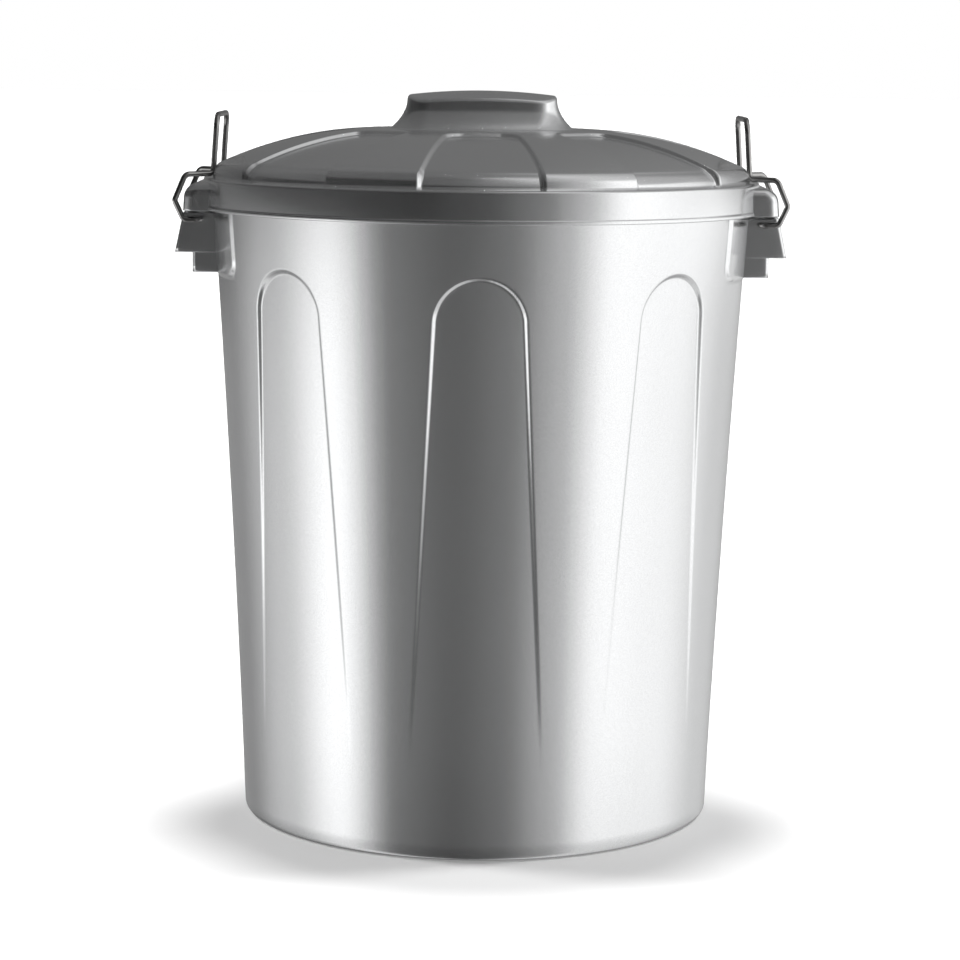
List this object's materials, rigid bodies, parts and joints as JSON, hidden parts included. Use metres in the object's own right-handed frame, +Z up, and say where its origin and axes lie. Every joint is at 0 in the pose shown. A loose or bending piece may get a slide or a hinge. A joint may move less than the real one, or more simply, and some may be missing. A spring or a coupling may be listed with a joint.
{
  "type": "trash can",
  "caption": "Round tapered plastic trash can with a domed lid and wire side handles that hook over the lid and swing out to free it.",
  "frame": {"origin": "centre of the base ring at floor level", "axes": "+Z up along the bin's axis, +X towards the right wire handle, -Y towards the viewer in the picture"},
  "size_m": [0.4502, 0.4158, 0.541],
  "materials": {
    "silver_plastic": "satin metallic silver with a fine grain",
    "plated_wire": "bright plated steel"
  },
  "bodies": {
    "tub": {"tub": "silver_plastic"},
    "lid": {"lid": "silver_plastic"},
    "handle_left": {"handle_left": "plated_wire"},
    "handle_right": {"handle_right": "plated_wire"}
  },
  "joints": [
    {"name": "handle_left_swing", "type": "hinge", "parent": "tub", "child": "handle_left", "pos_m": [-0.205, 0, 0.446], "axis": [0, -1, 0], "range_deg": [0, 134]},
    {"name": "handle_right_swing", "type": "hinge", "parent": "tub", "child": "handle_right", "pos_m": [0.205, 0, 0.446], "axis": [0, 1, 0], "range_deg": [0, 134]},
    {"name": "lid_lift", "type": "slide", "parent": "tub", "child": "lid", "axis": [0, 0, 1], "range_m": [0, 0.026]}
  ],
  "couplings": [
    {"joint": "handle_right_swing", "follows": "handle_left_swing", "ratio": 1},
    {"joint": "lid_lift", "follows": "handle_left_swing", "m_per_rad": 0.0111}
  ]
}
